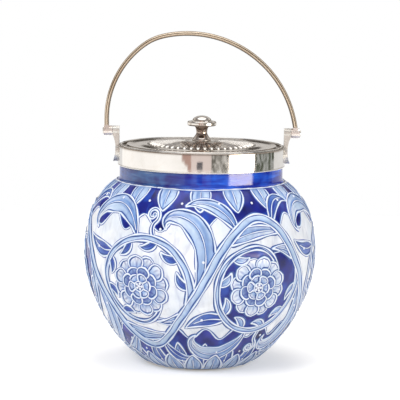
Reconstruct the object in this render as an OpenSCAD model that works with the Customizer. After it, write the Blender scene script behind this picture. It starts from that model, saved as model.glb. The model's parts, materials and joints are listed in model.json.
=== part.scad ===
// Biscuit jar: a round glazed pottery jar with a plated collar, a fluted
// lift-off lid with a turned finial, and a reeded bow handle that swings on
// two ears.  Millimetres, +Z up, origin at the centre of the foot.

/* [Pottery body] */
// Largest outside radius, at the belly
belly_r = 77.5; // [72:0.5:84]
// Height of the belly above the foot
belly_z = 75; // [68:1:82]
// Outside radius of the foot ring
foot_r = 32; // [28:1:38]
// Width of the foot ring
foot_ring_w = 5; // [3:0.5:8]
// Depth of the recess inside the foot ring
foot_recess = 2.2; // [1:0.2:3.4]
// Thickness of the wall
wall = 4.2; // [3.4:0.2:5]
// Thickness of the floor
floor_t = 5; // [4:0.5:8]
// Slope of the side where it leaves the foot, in degrees
foot_slope = 20; // [12:1:30]
// Fullness of the side above the foot
foot_pull = 23.5; // [16:0.5:30]
// Fullness of the side below the belly
belly_pull_low = 30; // [22:1:38]
// Fullness of the side above the belly
belly_pull_up = 28.5; // [20:1:34]
// Slope of the shoulder where it meets the neck, in degrees
shoulder_slope = 39; // [30:1:48]
// Fullness of the shoulder
shoulder_pull = 13.5; // [8:0.5:18]
// How far the shoulder's end stands out from the neck
shoulder_step = 3.5; // [2:0.25:5]
// Height of the shoulder's end above the foot
shoulder_z = 122.5; // [118:0.5:128]
// Outside radius of the plain neck
neck_r = 54.8; // [52:0.2:57]
// Height of the plain neck that shows under the collar
neck_h = 11.2; // [8:0.2:16]
// Depth of the rebate that the collar is bedded in
rebate = 1.2; // [0.8:0.1:1.8]

/* [Collar] */
// Thickness of the plaster between the neck and the collar
plaster_t = 1.55; // [1.3:0.05:2.4]
// Height of the collar, wires included
collar_h = 13.3; // [12.6:0.1:16]
// Thickness of the collar's sheet
collar_t = 0.8; // [0.6:0.05:1]
// Diameter of the rim and foot wires
wire_d = 1; // [0.9:0.05:1.2]
// Radial width of the ring that the lid rests on
seat_w = 2.9; // [2.4:0.1:3.4]
// Thickness of the ring that the lid rests on
seat_t = 1.2; // [0.8:0.1:1.6]
// Depth of the seat below the collar's rim
seat_drop = 1.7; // [1.5:0.1:2.2]

/* [Lid] */
// Clearance all round between the lid and the collar
lid_gap = 0.5; // [0.3:0.05:0.8]
// Gap under the lid's edge, above the seat
lid_rest_gap = 0.3; // [0.2:0.05:0.5]
// Thickness of the lid's sheet
lid_t = 0.8; // [0.6:0.05:1]
// Height of the middle of the lid above the collar's rim
lid_rise = 3.2; // [2:0.2:6]
// Height of the flutes' outer ends above the collar's rim
flute_end_rise = 1.1; // [0.4:0.1:1.8]
// Depth of the dished margin below the flutes' outer ends
margin_dip = 1.2; // [0.8:0.1:1.6]
// Diameter of the wire along the lid's edge
lid_wire_d = 1.4; // [1:0.05:1.6]
// Outside radius of the ring of flutes
flute_r = 36; // [30:0.5:40]
// Inside radius of the ring of flutes
flute_in_r = 11; // [9:0.5:16]
// Number of flutes
flute_count = 48; // [36:2:64]
// Depth of a flute
flute_depth = 0.7; // [0.4:0.05:1]
// Radius of the flat middle of the lid
lid_flat_r = 7.5; // [7:0.25:9]
// Depth of the ring that centres the lid in the collar
bezel_h = 5.2; // [3:0.2:5.6]
// Thickness of the ring that centres the lid
bezel_t = 0.8; // [0.6:0.1:1.2]
// Clearance between the centring ring and the seat
bezel_gap = 0.4; // [0.3:0.05:0.8]
// Clearance between the centring ring's lower end and the top of the pottery
bezel_end_gap = 0.9; // [0.5:0.1:1.5]

/* [Finial] */
// Radius of the finial's base
finial_base_r = 6.4; // [5:0.1:7]
// Radius of the finial's waist
finial_waist_r = 3.7; // [3:0.1:4.4]
// Radius of the finial's button
finial_button_r = 9.8; // [8:0.1:12]
// Thickness of the button's edge
finial_edge_h = 3.1; // [2.4:0.1:3.8]
// Radius that rounds the button's edge
finial_edge_round = 1.1; // [0.6:0.05:1.15]
// Radius of the dome on the button
finial_dome_r = 6.5; // [5:0.1:8]
// Height of the dome above the button's edge
finial_dome_h = 3.7; // [3:0.1:6]
// Height of the waist above the lid
finial_waist_h = 5; // [4:0.1:7]
// Height of the button's underside above the lid
finial_button_h = 10; // [8.5:0.1:13]
// Radius of the finial's stud
stud_r = 1.4; // [1:0.1:1.8]
// Width of the finial's nut across the corners
nut_w = 6.4; // [5.4:0.1:8]
// Height of the finial's nut
nut_h = 2.4; // [1.6:0.1:3]
// Radius of the washer under the lid
washer_r = 4.8; // [3.6:0.1:6]
// Thickness of the washer
washer_t = 0.7; // [0.5:0.1:1.2]

/* [Ears] */
// Height of the hinge axis above the collar's rim
hinge_h = 9; // [8:0.5:12]
// Radius of the round eyes
eye_r = 3.3; // [2.8:0.1:3.8]
// Clearance between the lid's edge and an ear's inner face
ear_clear = 0.65; // [0.5:0.05:1.2]
// Length of an ear's eye along the hinge
ear_eye_l = 4.4; // [3.6:0.1:5]
// Radius of the round foot of an ear
ear_foot_r = 7; // [5.6:0.2:8]
// Thickness of an ear at its waist
ear_waist_t = 1.65; // [1.2:0.05:2.2]
// Radius of the hollow curve down the outside of an ear
ear_curve_r = 21; // [16:0.5:28]
// How far an ear's waist lies below the middle of its height
ear_waist_drop = 1.5; // [0:0.25:2.5]
// Gap between an ear and the collar's rim wire
ear_seat_gap = 0.05; // [0.02:0.01:0.15]
// Gap between an ear's foot and the collar's foot wire
ear_foot_gap = 0.7; // [0.4:0.1:1.2]
// Radius of the hinge pins
pin_r = 1.5; // [1.2:0.1:1.8]
// Radial clearance of the pins in the bow's eyes
pin_play = 0.06; // [0.03:0.01:0.1]
// Radial clearance of the pins in the ears
pin_seat_play = 0.02; // [0.01:0.01:0.04]
// Radius of the pins' heads
pin_head_r = 2.3; // [2.1:0.1:2.7]
// Gap between a pin's head and the bow's eye
pin_head_gap = 0.2; // [0.15:0.05:0.3]
// Thickness of the pins' heads
pin_head_t = 0.6; // [0.4:0.1:1]

/* [Bow handle] */
// Gap along the hinge between an ear and the bow's eye
hinge_gap = 0.3; // [0.25:0.05:0.5]
// Length of a bow eye along the hinge
bow_eye_l = 5.7; // [5.2:0.1:6.6]
// Height of the bow's top above the hinge axis
bow_rise = 67.4; // [62:0.2:74]
// Thickness of the bow's strap
bow_t = 3.1; // [2.6:0.1:3.4]
// Width of the bow's strap
bow_w = 6.6; // [5.6:0.2:7.6]
// Height of the plain edge below the reeds
bow_edge = 0.8; // [0.5:0.1:1.2]
// Number of reeds along the bow
reed_count = 5; // [3:1:7]
// Depth of the hollows between the reeds
reed_depth = 0.3; // [0.1:0.05:0.4]
// How far the bow's top lies to the left of the middle
bow_lean = 9.6; // [6:0.2:12]
// Distance from the left eye's outer end in to the strap
left_strap_in = 0.1; // [0:0.05:0.6]
// Distance from the right eye's outer end in to the strap
right_strap_in = 1.4; // [0.8:0.05:2]
// Height above the hinge axis where the bow is widest on the left
bow_wide_h = 8.6; // [6:0.2:11]
// Radius of the tight bend at the upper left of the bow
bow_bend_r = 25.6; // [20:0.2:32]
// How far past its top the long curve runs before the tight bend, in degrees
bow_bend_at = 16; // [12:0.5:20]
// Height of the bow's feet above the hinge axis
bow_foot_h = 4; // [3.9:0.1:5]

/* [Hidden] */

$fn = 96;
curve_steps = 26;
eps = 0.01;

// Levels of the neck and the collar
collar_z = shoulder_z + neck_h;
rim_z = collar_z + collar_h;
bedded_neck_r = neck_r - rebate;
mouth_r = neck_r - wall;
collar_in_r = bedded_neck_r + plaster_t;
collar_r = collar_in_r + collar_t;
seat_z = rim_z - seat_drop;
// Flat on a wire where it is soldered on, and the wires' outside radius
wire_flat = wire_d * 0.1;
wire_out_r = collar_in_r + wire_d;

// The lid
lid_r = collar_in_r - lid_gap;
lid_flat_z = rim_z + lid_rise;
lid_edge_z = seat_z + lid_rest_gap + lid_t;
bezel_out_r = collar_in_r - seat_w - bezel_gap;
bezel_top = lid_edge_z - lid_t;
flute_end_z = rim_z + flute_end_rise;
margin_z = flute_end_z - margin_dip;
pottery_top = bezel_top - bezel_h - bezel_end_gap;

// The hinge: ears inside, bow eyes outside
hinge_z = rim_z + hinge_h;
ear_in = lid_r + ear_clear;
ear_out = ear_in + ear_eye_l;
bow_eye_in = ear_out + hinge_gap;
bow_eye_out = bow_eye_in + bow_eye_l;
ear_foot_z = collar_z + wire_d + ear_foot_gap;

// The bow's centre line: a long curve from the right foot over the top, a
// tight bend, and a side curve down to the left foot
bow_foot_z = hinge_z + bow_foot_h;
bow_top_z = hinge_z + bow_rise - bow_t / 2;
right_foot_x = bow_eye_out - right_strap_in - bow_t / 2;
left_wide_x = bow_eye_out - left_strap_in - bow_t / 2;
wide_z = hinge_z + bow_wide_h;
arch_h = bow_top_z - bow_foot_z;
arch_w = right_foot_x + bow_lean;
long_r = (arch_w * arch_w + arch_h * arch_h) / (2 * arch_h);
long_c = [-bow_lean, bow_top_z - long_r];
bend_c = long_c + (long_r - bow_bend_r) * [-sin(bow_bend_at), cos(bow_bend_at)];
bend_up = bend_c[1] - wide_z;
bend_in = left_wide_x - bow_bend_r;
side_cx = (bend_c[0] * bend_c[0] + bend_up * bend_up - bend_in * bend_in)
        / (2 * (bend_in + bend_c[0]));
side_c = [side_cx, wide_z];
side_r = side_cx + left_wide_x;
side_end = atan2(bend_up, bend_c[0] - side_cx);
right_end = asin((bow_foot_z - long_c[1]) / long_r);
left_end = 180 + asin((wide_z - bow_foot_z) / side_r);
left_foot_x = side_cx - side_r * cos(left_end - 180);

// A point on the cubic curve through a and d with handles b and c
function on_curve(a, b, c, d, t) =
    a * pow(1 - t, 3) + b * 3 * t * pow(1 - t, 2)
    + c * 3 * t * t * (1 - t) + d * pow(t, 3);

function curve(a, b, c, d, steps) =
    [for (i = [0:steps]) on_curve(a, b, c, d, i / steps)];

function without_last(points) =
    [for (i = [0:len(points) - 2]) points[i]];

function arc(centre, r, from, to, steps) =
    [for (i = [0:steps])
        centre + r * [cos(from + (to - from) * i / steps),
                      sin(from + (to - from) * i / steps)]];

// The points of an open line moved sideways by d, to its left for d > 0
function beside(points, d) =
    [for (i = [0:len(points) - 1])
        let (a = points[max(i - 1, 0)],
             b = points[min(i + 1, len(points) - 1)],
             along = (b - a) / norm(b - a))
        points[i] + d * [-along[1], along[0]]];

// The outside of the body from the foot to the neck, as [radius, height]
shoulder_r = neck_r + shoulder_step;
side_curve = concat(
    without_last(curve([foot_r, 0],
        [foot_r + foot_pull * cos(foot_slope), foot_pull * sin(foot_slope)],
        [belly_r, belly_z - belly_pull_low], [belly_r, belly_z], curve_steps)),
    curve([belly_r, belly_z], [belly_r, belly_z + belly_pull_up],
        [shoulder_r + shoulder_pull * cos(shoulder_slope),
         shoulder_z - shoulder_pull * sin(shoulder_slope)],
        [shoulder_r, shoulder_z], curve_steps));

// Cove between the shoulder and the neck
cove_curve = curve([shoulder_r, shoulder_z],
    [shoulder_r - shoulder_step / 2, shoulder_z + shoulder_step / 3],
    [neck_r, shoulder_z + shoulder_step / 2],
    [neck_r, shoulder_z + shoulder_step], 6);

inner_curve = beside(side_curve, wall);

module ring(in_r, out_r, low, high) {
    translate([0, 0, low])
        difference() {
            cylinder(h = high - low, r = out_r);
            translate([0, 0, -1])
                cylinder(h = high - low + 2, r = in_r);
        }
}

module pottery_outline() {
    lip = 0.6;
    polygon(concat([[0, 0]], without_last(side_curve), cove_curve, [
        [neck_r, collar_z],
        [bedded_neck_r, collar_z],
        [bedded_neck_r, pottery_top - lip],
        [bedded_neck_r - lip, pottery_top],
        [0, pottery_top]]));
}

module pottery_hollow() {
    floor_z = foot_recess + floor_t;
    intersection() {
        polygon(concat([[0, 0]], inner_curve,
            [[mouth_r, shoulder_z + shoulder_step],
             [mouth_r, pottery_top + 1],
             [0, pottery_top + 1]]));
        translate([0, floor_z])
            square([belly_r, pottery_top]);
    }
}

module pottery_body() {
    color("royalblue")
        rotate_extrude()
            difference() {
                pottery_outline();
                pottery_hollow();
                translate([0, -1])
                    square([foot_r - foot_ring_w, foot_recess + 1]);
            }
}

// Plaster that beds the collar on the neck
module plaster_bed() {
    color("white")
        ring(bedded_neck_r, collar_in_r, collar_z, pottery_top);
}

module collar_band() {
    color("silver")
        ring(collar_in_r, collar_r, collar_z + wire_d - wire_flat, rim_z - wire_d + wire_flat);
}

// Section of a round wire, centred, with a flat underneath to solder it on
module wire_section(d) {
    intersection() {
        circle(d = d);
        translate([-d / 2, wire_flat - d / 2])
            square(d);
    }
}

// Wires along the band's edges, flush with its inside and proud outside
module collar_rim_wire() {
    color("silver")
        rotate_extrude()
            translate([collar_in_r + wire_d / 2, rim_z - wire_d / 2])
                wire_section(wire_d);
}

module collar_foot_wire() {
    color("silver")
        rotate_extrude()
            translate([collar_in_r + wire_d / 2, collar_z + wire_d / 2])
                mirror([0, 1])
                    wire_section(wire_d);
}

module lid_seat_ring() {
    color("silver")
        ring(collar_in_r - seat_w, collar_in_r, seat_z - seat_t, seat_z);
}

// The right ear; the left one is its mirror image
module ear() {
    waist_z = (ear_foot_z + hinge_z) / 2 - ear_waist_drop;
    reach = ear_out - ear_in;
    color("silver")
        difference() {
            union() {
                ear_slab(reach)
                    ear_foot_outline();
                ear_slab(reach)
                    ear_stalk_outline();
                translate([ear_in, 0, hinge_z])
                    rotate([0, 90, 0])
                        cylinder(h = reach, r = eye_r);
            }
            // the hollow curve down the outside
            translate([collar_r + ear_waist_t + ear_curve_r, 0, waist_z])
                rotate([90, 0, 0])
                    cylinder(h = 4 * ear_foot_r, r = ear_curve_r, center = true, $fn = 180);
            // the seat on the collar's band and round its rim wire
            cylinder(h = rim_z, r = collar_r, $fn = 180);
            translate([0, 0, rim_z - wire_d])
                cylinder(h = wire_d + ear_seat_gap, r = wire_out_r + ear_seat_gap, $fn = 180);
            translate([ear_in - 1, 0, hinge_z])
                rotate([0, 90, 0])
                    cylinder(h = reach + 2, r = pin_r + pin_seat_play);
        }
}

// An outline in the YZ plane as a slab as thick as the ear
module ear_slab(reach) {
    translate([ear_in, 0, 0])
        rotate([90, 0, 90])
            linear_extrude(height = reach)
                children();
}

module ear_foot_outline() {
    intersection() {
        translate([0, ear_foot_z + ear_foot_r])
            circle(r = ear_foot_r);
        translate([-ear_foot_r, 0])
            square([2 * ear_foot_r, rim_z - wire_d]);
    }
}

module ear_stalk_outline() {
    foot_mid_z = ear_foot_z + ear_foot_r;
    shoulder_top_z = rim_z - wire_d;
    foot_flare = 1.2;
    foot_w = eye_r + foot_flare;
    top_w = eye_r * 0.85;
    polygon([[-foot_w, foot_mid_z], [-foot_w, shoulder_top_z], [-top_w, hinge_z],
             [top_w, hinge_z], [foot_w, shoulder_top_z], [foot_w, foot_mid_z]]);
}

module right_ear() {
    ear();
}

module left_ear() {
    mirror([1, 0, 0])
        ear();
}

// A pin through the ear and the bow's eye, with a head outside
module hinge_pin() {
    head_x = bow_eye_out + pin_head_gap;
    color("silver")
        translate([0, 0, hinge_z])
            rotate([0, 90, 0]) {
                translate([0, 0, ear_in])
                    cylinder(h = head_x + eps - ear_in, r = pin_r);
                translate([0, 0, head_x])
                    cylinder(h = pin_head_t, r1 = pin_head_r, r2 = pin_head_r - 0.4);
            }
}

module right_hinge_pin() {
    hinge_pin();
}

module left_hinge_pin() {
    mirror([1, 0, 0])
        hinge_pin();
}

// Points on the strap's crown, at the crests and in the hollows, for a
// share t of the way across
function reed_crest(t) =
    [-bow_t / 2 + bow_edge + (bow_t - bow_edge) * sin(180 * t), -bow_w / 2 * cos(180 * t)];

function reed_hollow(t) =
    [-bow_t / 2 + bow_edge + (bow_t - bow_edge - reed_depth) * sin(180 * t),
     -(bow_w / 2 - reed_depth) * cos(180 * t)];

function reed(i) = [for (part = [0.2, 0.5, 0.8]) reed_crest((i + part) / reed_count)];

// Section of the strap, centred: a flat inside, plain edges, a reeded crown
strap_section = concat(
    [[-bow_t / 2, -bow_w / 2], [-bow_t / 2 + bow_edge, -bow_w / 2]],
    reed(0),
    [for (i = [1:reed_count - 1])
        for (point = concat([reed_hollow(i / reed_count)], reed(i))) point],
    [[-bow_t / 2 + bow_edge, bow_w / 2], [-bow_t / 2, bow_w / 2]]);

// One arc of the bow, about a centre in the XZ plane, from and to in degrees
module bow_arc(centre, r, from, to) {
    translate([centre[0], 0, centre[1]])
        rotate([90, 0, 0])
            rotate([0, 0, from])
                rotate_extrude(angle = to - from, $fn = 180)
                    translate([r, 0])
                        polygon(strap_section);
}

module bow_strap() {
    // the arcs run a little past the feet, and are then cut level
    foot_spare = 2;
    spare_angle = foot_spare / side_r * 180 / PI;
    // and they lap a hair where they meet, so that they are one piece
    lap_angle = 0.02;
    bend_start = 90 + bow_bend_at;
    color("tan")
        difference() {
            union() {
                bow_arc(long_c, long_r, right_end - spare_angle, bend_start + lap_angle);
                bow_arc(bend_c, bow_bend_r, bend_start, side_end + lap_angle);
                bow_arc(side_c, side_r, side_end, left_end + spare_angle);
            }
            translate([-2 * belly_r, -bow_w, bow_foot_z - 3 * foot_spare])
                cube([4 * belly_r, 2 * bow_w, 3 * foot_spare]);
        }
}

// An eye on the hinge with a square boss that carries the strap's foot
module bow_eye(strap_x) {
    boss_w = bow_w * 0.9;
    color("tan")
        difference() {
            union() {
                translate([bow_eye_in, 0, hinge_z])
                    rotate([0, 90, 0])
                        cylinder(h = bow_eye_l, r = eye_r);
                translate([strap_x - bow_t / 2, -boss_w / 2, hinge_z])
                    cube([bow_t, boss_w, bow_foot_h]);
            }
            translate([bow_eye_in - 1, 0, hinge_z])
                rotate([0, 90, 0])
                    cylinder(h = bow_eye_l + 2, r = pin_r + pin_play);
        }
}

module right_bow_eye() {
    bow_eye(right_foot_x);
}

module left_bow_eye() {
    mirror([1, 0, 0])
        bow_eye(-left_foot_x);
}

// The top of the lid's sheet from the stud hole out to the edge: a flat, the
// slope that carries the flutes, a dished margin, a step and a level edge
stud_hole_play = 0.1;
flute_start_fall = 0.4;
margin_lift = 0.4;
edge_inset = 0.3;
step_w = 0.7;
edge_in_r = bezel_out_r - bezel_t - edge_inset;
margin_w = bezel_out_r - flute_r;
lid_top = [
    [stud_r + stud_hole_play, lid_flat_z],
    [lid_flat_r, lid_flat_z],
    [flute_in_r, lid_flat_z - flute_start_fall],
    [flute_r, flute_end_z],
    [flute_r + margin_w * 0.25, margin_z + margin_lift],
    [flute_r + margin_w * 0.5, margin_z],
    [flute_r + margin_w * 0.75, margin_z + margin_lift * 0.75],
    [edge_in_r - step_w, margin_z + margin_lift],
    [edge_in_r, lid_edge_z],
    [lid_r - lid_wire_d / 2, lid_edge_z]];

lid_under = [for (i = [len(lid_top) - 1:-1:0]) lid_top[i] - [0, lid_t]];

module lid_shell() {
    flute_a = lid_top[2];
    flute_b = lid_top[3];
    flute_l = norm(flute_b - flute_a);
    flute_fall = atan2(flute_a[1] - flute_b[1], flute_b[0] - flute_a[0]);
    groove_r = flute_depth * 0.7;
    color("silver")
        difference() {
            rotate_extrude()
                polygon(concat(lid_top, lid_under));
            // narrow grooves part the flutes
            for (i = [0:flute_count - 1])
                rotate([0, 0, 360 * i / flute_count])
                    translate([flute_a[0], 0, flute_a[1]])
                        rotate([0, 90 + flute_fall, 0])
                            cylinder(h = flute_l, r1 = groove_r * 0.5, r2 = groove_r, $fn = 16);
        }
}

module lid_rim_wire() {
    color("silver")
        rotate_extrude()
            translate([lid_r - lid_wire_d / 2, lid_edge_z + lid_wire_d / 2 - wire_flat])
                wire_section(lid_wire_d);
}

module lid_bezel() {
    color("silver")
        ring(bezel_out_r - bezel_t, bezel_out_r, bezel_top - bezel_h, bezel_top);
}

// The finial's outline above the lid, as [radius, height]
base_curve = curve([finial_base_r - 0.4, 1.1],
    [finial_waist_r + 1.7, 2.2], [finial_waist_r + 0.3, finial_waist_h * 0.72],
    [finial_waist_r, finial_waist_h], 10);
stem_curve = curve([finial_waist_r, finial_waist_h],
    [finial_waist_r, finial_waist_h + 2.6], [finial_waist_r + 0.4, finial_button_h - 1],
    [finial_waist_r + 1.5, finial_button_h - 0.3], 10);
dome_z = finial_button_h + finial_edge_h;
edge_mid_r = finial_button_r - finial_edge_round;
edge_curve = concat(
    arc([edge_mid_r, finial_button_h + finial_edge_round], finial_edge_round, -90, 0, 6),
    arc([edge_mid_r, dome_z - finial_edge_round], finial_edge_round, 0, 90, 6));
dome_curve = [for (i = [0:14])
    [finial_dome_r * cos(90 * i / 14), dome_z + finial_dome_h * sin(90 * i / 14)]];
stud_play = 0.02;
// The stud's reach into the knob, and the space above its end
stud_reach = 2.8;
stud_end_gap = 0.2;
stud_top_h = finial_waist_h + stud_reach;

module finial_base() {
    color("silver")
        translate([0, 0, lid_flat_z])
            rotate_extrude()
                polygon(concat([[stud_r + stud_play, 0], [finial_base_r, 0],
                    [finial_base_r, 0.8]], base_curve,
                    [[stud_r + stud_play, finial_waist_h]]));
}

module finial_knob() {
    color("silver")
        translate([0, 0, lid_flat_z])
            difference() {
                rotate_extrude()
                    polygon(concat([[0, finial_waist_h]], stem_curve, edge_curve, dome_curve));
                translate([0, 0, finial_waist_h - 1])
                    cylinder(h = stud_reach + stud_end_gap + 1, r = stud_r + stud_play);
            }
}

washer_top = lid_flat_z - lid_t;
nut_top = washer_top - washer_t;
stud_tip = 0.8;
stud_end = nut_top - nut_h - stud_tip;

module finial_stud() {
    color("goldenrod")
        translate([0, 0, stud_end])
            cylinder(h = lid_flat_z + stud_top_h - stud_end, r = stud_r);
}

module finial_washer() {
    color("silver")
        ring(stud_r + stud_hole_play, washer_r, washer_top - washer_t, washer_top);
}

module finial_nut() {
    color("goldenrod")
        translate([0, 0, nut_top - nut_h])
            difference() {
                cylinder(h = nut_h, d = nut_w, $fn = 6);
                translate([0, 0, -1])
                    cylinder(h = nut_h + 2, r = stud_r + stud_play, $fn = 48);
            }
}

pottery_body();
plaster_bed();
collar_band();
collar_rim_wire();
collar_foot_wire();
lid_seat_ring();
left_ear();
right_ear();
left_hinge_pin();
right_hinge_pin();
bow_strap();
left_bow_eye();
right_bow_eye();
lid_shell();
lid_rim_wire();
lid_bezel();
finial_base();
finial_knob();
finial_stud();
finial_washer();
finial_nut();
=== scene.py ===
import bpy
import json
import math
import numpy as np
from mathutils import Matrix, Vector


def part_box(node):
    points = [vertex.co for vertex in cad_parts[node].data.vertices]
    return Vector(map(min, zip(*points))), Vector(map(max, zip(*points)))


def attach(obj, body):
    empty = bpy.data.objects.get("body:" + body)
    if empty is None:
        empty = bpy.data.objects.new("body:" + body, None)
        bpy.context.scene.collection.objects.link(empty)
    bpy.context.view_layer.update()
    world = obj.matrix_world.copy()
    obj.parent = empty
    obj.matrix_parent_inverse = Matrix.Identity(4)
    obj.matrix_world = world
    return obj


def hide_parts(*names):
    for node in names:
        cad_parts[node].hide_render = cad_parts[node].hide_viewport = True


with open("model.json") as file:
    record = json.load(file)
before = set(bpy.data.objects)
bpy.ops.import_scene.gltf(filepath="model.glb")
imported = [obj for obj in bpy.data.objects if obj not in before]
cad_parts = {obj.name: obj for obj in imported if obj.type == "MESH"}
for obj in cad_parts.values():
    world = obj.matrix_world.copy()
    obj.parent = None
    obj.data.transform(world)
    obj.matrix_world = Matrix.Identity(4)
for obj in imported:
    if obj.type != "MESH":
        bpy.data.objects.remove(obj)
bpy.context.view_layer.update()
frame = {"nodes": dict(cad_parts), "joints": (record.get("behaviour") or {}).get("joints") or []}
MM = 0.001
TAU = 2 * math.pi
scene = bpy.context.scene


# ---------------- sizes, mm
def reach_of(node):
    """The radius of a turned node, and its lowest and highest point"""
    low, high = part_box(node)
    return round(high[0] / MM, 2), round(low[2] / MM, 2), round(high[2] / MM, 2)


# what the frame gives
BELLY_R, _, POTTERY_TOP = reach_of("pottery_body")
COLLAR_Z = reach_of("collar_foot_wire")[1]
RIM_Z = reach_of("collar_rim_wire")[2]
BAND_R = reach_of("collar_band")[0]
BAND_IN_R, SEAT_LOW_Z, SEAT_Z = reach_of("lid_seat_ring")
LID_R, LID_EDGE_Z, _ = reach_of("lid_rim_wire")
LID_FLAT_Z = reach_of("lid_shell")[2]
BEZEL_R, BEZEL_LOW_Z, BEZEL_TOP_Z = reach_of("lid_bezel")
STUD_R = reach_of("finial_stud")[0]
BASE_R, _, WAIST_Z = reach_of("finial_base")
BUTTON_R = reach_of("finial_knob")[0]
HINGE_Z = round(next(j["pos_m"][2] for j in frame["joints"] if j["name"] == "handle_swing") / MM, 2)

# the pot: its side is pulled out from the foot, past the belly and in to the shoulder
FOOT_R, FOOT_IN_R, FOOT_RECESS = 32.0, 27.0, 2.2
FOOT_PULL, FOOT_SLOPE = 23.5, math.radians(20)
BELLY_Z, BELLY_PULL_LOW, BELLY_PULL_UP = 75.0, 30.0, 28.5
SHOULDER_Z, SHOULDER_PULL, SHOULDER_SLOPE = 122.5, 13.5, math.radians(39)
SHOULDER_STEP, COVE_LIFT = 3.5, 1.17
NECK_R, BEDDED_R, MOUTH_R = 54.8, 53.6, 50.6
SHOULDER_R, COVE_Z = NECK_R + SHOULDER_STEP, SHOULDER_Z + SHOULDER_STEP
WALL, FLOOR_Z, FLOOR_BEND_R = 4.2, 7.2, 36.0

# the mounts
WIRE_D, SEAT_W, BEZEL_T = 1.0, 2.9, 0.8
LID_T, LID_FLAT_R, LID_WIRE_D = 0.8, 7.5, 1.4
FLUTE_IN_R, FLUTE_R, FLUTE_END_Z, FLUTES = 11.0, 36.0, 148.1, 48
MARGIN_R, MARGIN_Z, STEP_R, STEP_W = 45.0, 146.9, 50.75, 0.7
WAIST_R, WAIST_H = 3.7, round(WAIST_Z - LID_FLAT_Z, 2)
BUTTON_H, EDGE_H, EDGE_ROUND, DOME_R, DOME_H = 10.0, 3.1, 1.1, 6.5, 3.7

# the bow: the size of its strap, how many rows of points ease each bend, and the
# shares of the way across at which its five reeds begin and end
BOW_W, BOW_T, BOW_EDGE, EASED = 6.6, 3.1, 0.8, 12
BOW_FOOT_Z = HINGE_Z + 4.0
REED_ENDS = (0, 0.165, 0.39, 0.61, 0.835, 1)

# points round the pot, the long plated rings, the finial and other turned pieces
POT_ROUND, RING_ROUND, FINIAL_ROUND, TURNED_ROUND = 288, 360, 128, 256
# a radius that stands for the axis itself
AXIS_R = 1e-4

# ---------------- colours
INK = (0.003, 0.005, 0.075)
COBALT = (0.004, 0.010, 0.190)
WASH = (0.040, 0.048, 0.330)
DRIFT = (0.020, 0.075, 0.420)
DEEP = (0.012, 0.030, 0.280)
MID = (0.060, 0.140, 0.480)
AZURE = (0.110, 0.240, 0.560)
SKY = (0.310, 0.450, 0.700)
PALE = (0.500, 0.620, 0.790)
MILK = (0.850, 0.860, 0.890)
SLIP = (0.800, 0.840, 0.930)
# the colour of the collar's tarnish, which also stands for painted shade on its band and wires
TARNISH_AND_SHADE = (0.24, 0.18, 0.13)


def blend(a, b, share):
    """Colours a and b mixed by share, which may be an array"""
    share = np.asarray(share, float)[..., None]
    return np.asarray(a, float) * (1 - share) + np.asarray(b, float) * share


# ---------------- materials
class Nodes:
    """A node tree, emptied, and short ways to fill it"""

    def __init__(self, tree):
        self.tree = tree
        tree.nodes.clear()

    def node(self, kind, **settings):
        made = self.tree.nodes.new(kind)
        for key, value in settings.items():
            setattr(made, key, value)
        return made

    def join(self, a, b):
        self.tree.links.new(a, b)

    def feed(self, socket, value):
        if isinstance(value, bpy.types.NodeSocket):
            self.join(value, socket)
        elif isinstance(value, (tuple, list)):
            socket.default_value = tuple(value) + (1.0,)
        else:
            socket.default_value = value

    def math(self, kind, a, b=0.5, c=None):
        made = self.node("ShaderNodeMath", operation=kind)
        self.feed(made.inputs[0], a)
        self.feed(made.inputs[1], b)
        if c is not None:
            self.feed(made.inputs[2], c)
        return made.outputs[0]

    def steps(self, value, low, high, to_low=0.0, to_high=1.0):
        """A value's way from low to high as a smooth way between two others"""
        made = self.node("ShaderNodeMapRange", interpolation_type="SMOOTHSTEP")
        for socket, number in zip(made.inputs, (value, low, high, to_low, to_high)):
            self.feed(socket, number)
        return made.outputs[0]

    def mix(self, share, a, b, kind="MIX"):
        made = self.node("ShaderNodeMix", data_type="RGBA", blend_type=kind)
        self.feed(made.inputs[0], share)
        self.feed(made.inputs[6], a)
        self.feed(made.inputs[7], b)
        return made.outputs[2]


class Look(Nodes):
    """A node material, in the object's own coordinates"""

    def __init__(self, name, **sockets):
        self.mat = bpy.data.materials.new(name)
        self.mat.use_nodes = True
        super().__init__(self.mat.node_tree)
        self.out = self.node("ShaderNodeOutputMaterial")
        self.skin = self.node("ShaderNodeBsdfPrincipled")
        self.join(self.skin.outputs[0], self.out.inputs[0])
        self.where = self.node("ShaderNodeTexCoord").outputs["Object"]
        for key, value in sockets.items():
            self.skin.inputs[key.replace("_", " ")].default_value = value

    def noise(self, grain_mm, detail=3.0, stretch=(1, 1, 1), twist=0.0):
        """Noise with grains of a size in mm, longer along an axis by stretch"""
        place = self.node("ShaderNodeMapping")
        place.inputs["Scale"].default_value = [1000.0 / grain_mm / s for s in stretch]
        made = self.node("ShaderNodeTexNoise")
        made.inputs["Scale"].default_value = 1.0
        made.inputs["Detail"].default_value = detail
        made.inputs["Distortion"].default_value = twist
        self.join(self.where, place.inputs["Vector"])
        self.join(place.outputs[0], made.inputs["Vector"])
        return made.outputs[0]

    def tint(self):
        """The mesh's own colours"""
        return self.node("ShaderNodeAttribute", attribute_name="tint").outputs["Color"]

    def bump(self, height, depth_mm, strength=1.0):
        made = self.node("ShaderNodeBump")
        made.inputs["Strength"].default_value = strength
        made.inputs["Distance"].default_value = depth_mm * MM
        self.join(height, made.inputs["Height"])
        self.join(made.outputs[0], self.skin.inputs["Normal"])

    def colour(self, value):
        self.feed(self.skin.inputs["Base Color"], value)

    def rough(self, value):
        self.feed(self.skin.inputs["Roughness"], value)


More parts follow.
